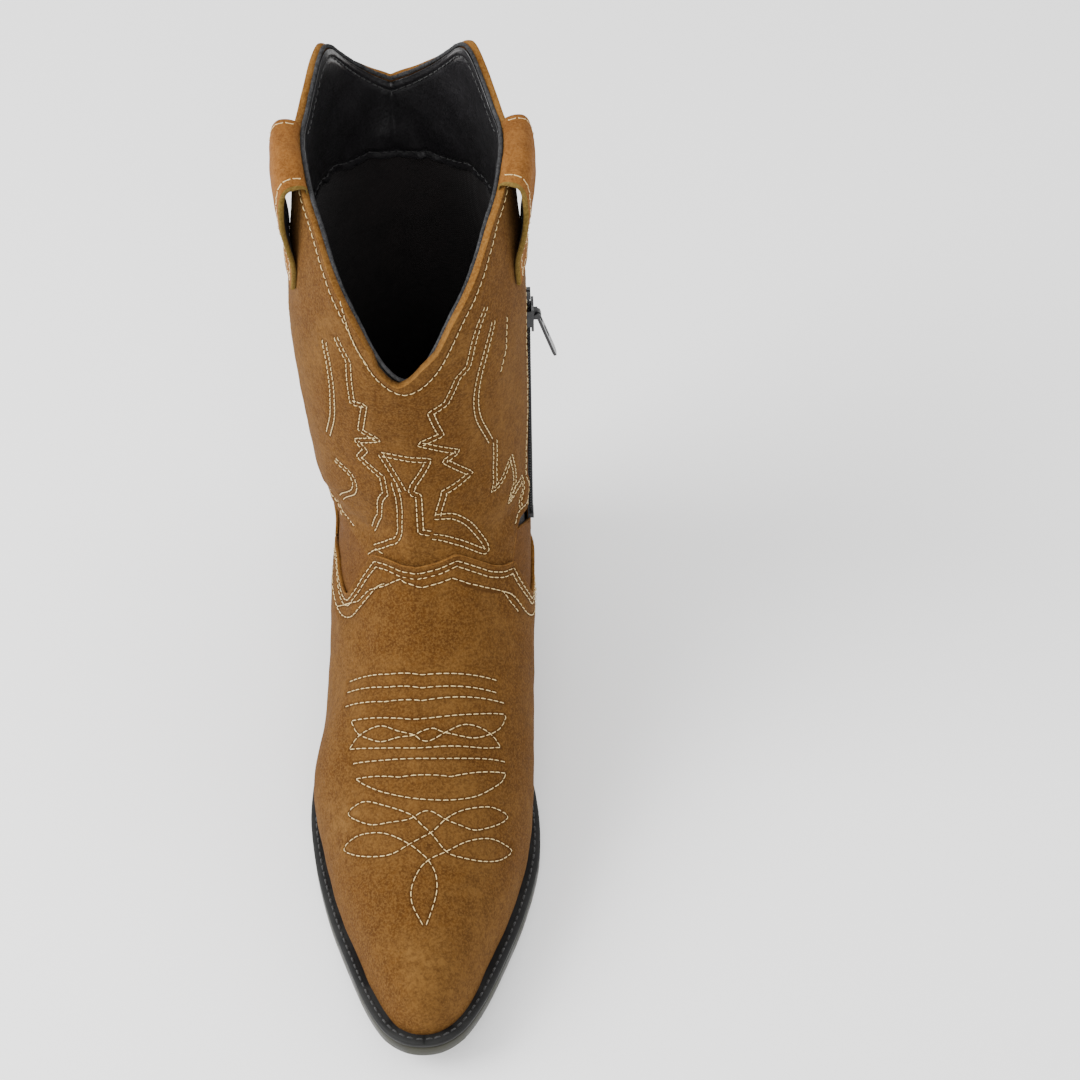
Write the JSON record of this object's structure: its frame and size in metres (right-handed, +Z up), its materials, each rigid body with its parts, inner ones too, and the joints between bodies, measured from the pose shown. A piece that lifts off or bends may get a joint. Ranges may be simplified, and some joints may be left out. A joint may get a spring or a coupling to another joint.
{
  "type": "western boot",
  "caption": "Suede mid-calf western boot for the right foot with a pointed toe, stacked block heel, deep V topline, side pull straps and a working side zip.",
  "frame": {"origin": "on the floor under the centre of the bounding box", "axes": "+Z up from the floor, toe along -Y, inner side of the foot and zip along +X"},
  "size_m": [0.1042, 0.2869, 0.2805],
  "materials": {
    "suede": "brushed nap",
    "suede_dark": "brushed nap",
    "strap_suede": "brushed nap",
    "gloss_facing": "gloss",
    "lining": "matte",
    "piping": "satin",
    "stiffener": "matte",
    "board": "matte",
    "filler": "matte",
    "insock": "satin",
    "outsole": "satin",
    "welt": "matte",
    "heel_stack": "waxed",
    "top_piece": "matte",
    "shank_steel": "brushed",
    "zip_tape": "woven",
    "zip_teeth": "satin",
    "zip_metal": "black oxide"
  },
  "bodies": {
    "boot": {"outsole": "outsole", "welt": "welt", "heel_rand": "welt", "forepart_filler": "filler", "tuck_board": "board", "shank": "shank_steel", "shank_rivets": "shank_steel", "insole_board": "board", "insock": "insock", "heel_wedge": "heel_stack", "heel_lift_top": "heel_stack", "heel_lift_mid": "heel_stack", "heel_lift_low": "heel_stack", "heel_top_piece": "top_piece", "heel_screw": "shank_steel", "toe_puff": "stiffener", "vamp_backer": "lining", "vamp_lining": "lining", "vamp": "suede", "heel_stiffener": "stiffener", "heel_grip": "lining", "heel_counter": "suede", "shaft_front": "suede", "shaft_back": "suede_dark", "shaft_lining": "lining", "topline_facing": "gloss_facing", "topline_piping": "piping", "pull_strap_outer": "strap_suede", "pull_strap_inner": "strap_suede", "zip_guard": "lining", "zip_base_patch": "zip_tape", "zip_tape_front": "zip_tape", "zip_tape_rear": "zip_tape", "zip_teeth_front": "zip_teeth", "zip_teeth_rear": "zip_teeth", "zip_bottom_stop": "zip_metal", "zip_top_stops": "zip_metal"},
    "slider": {"zip_slider": "zip_metal"},
    "puller": {"zip_puller": "zip_metal"}
  },
  "joints": [
    {"name": "zip_slide", "type": "slide", "parent": "boot", "child": "slider", "axis": [0.0049, -0.2008, -0.9796], "range_m": [0, 0.084]},
    {"name": "puller_hinge", "type": "hinge", "parent": "slider", "child": "puller", "pos_m": [0.04484, 0.08088, 0.1841], "axis": [0, 0.9796, -0.2008], "range_deg": [-140, 18]}
  ]
}
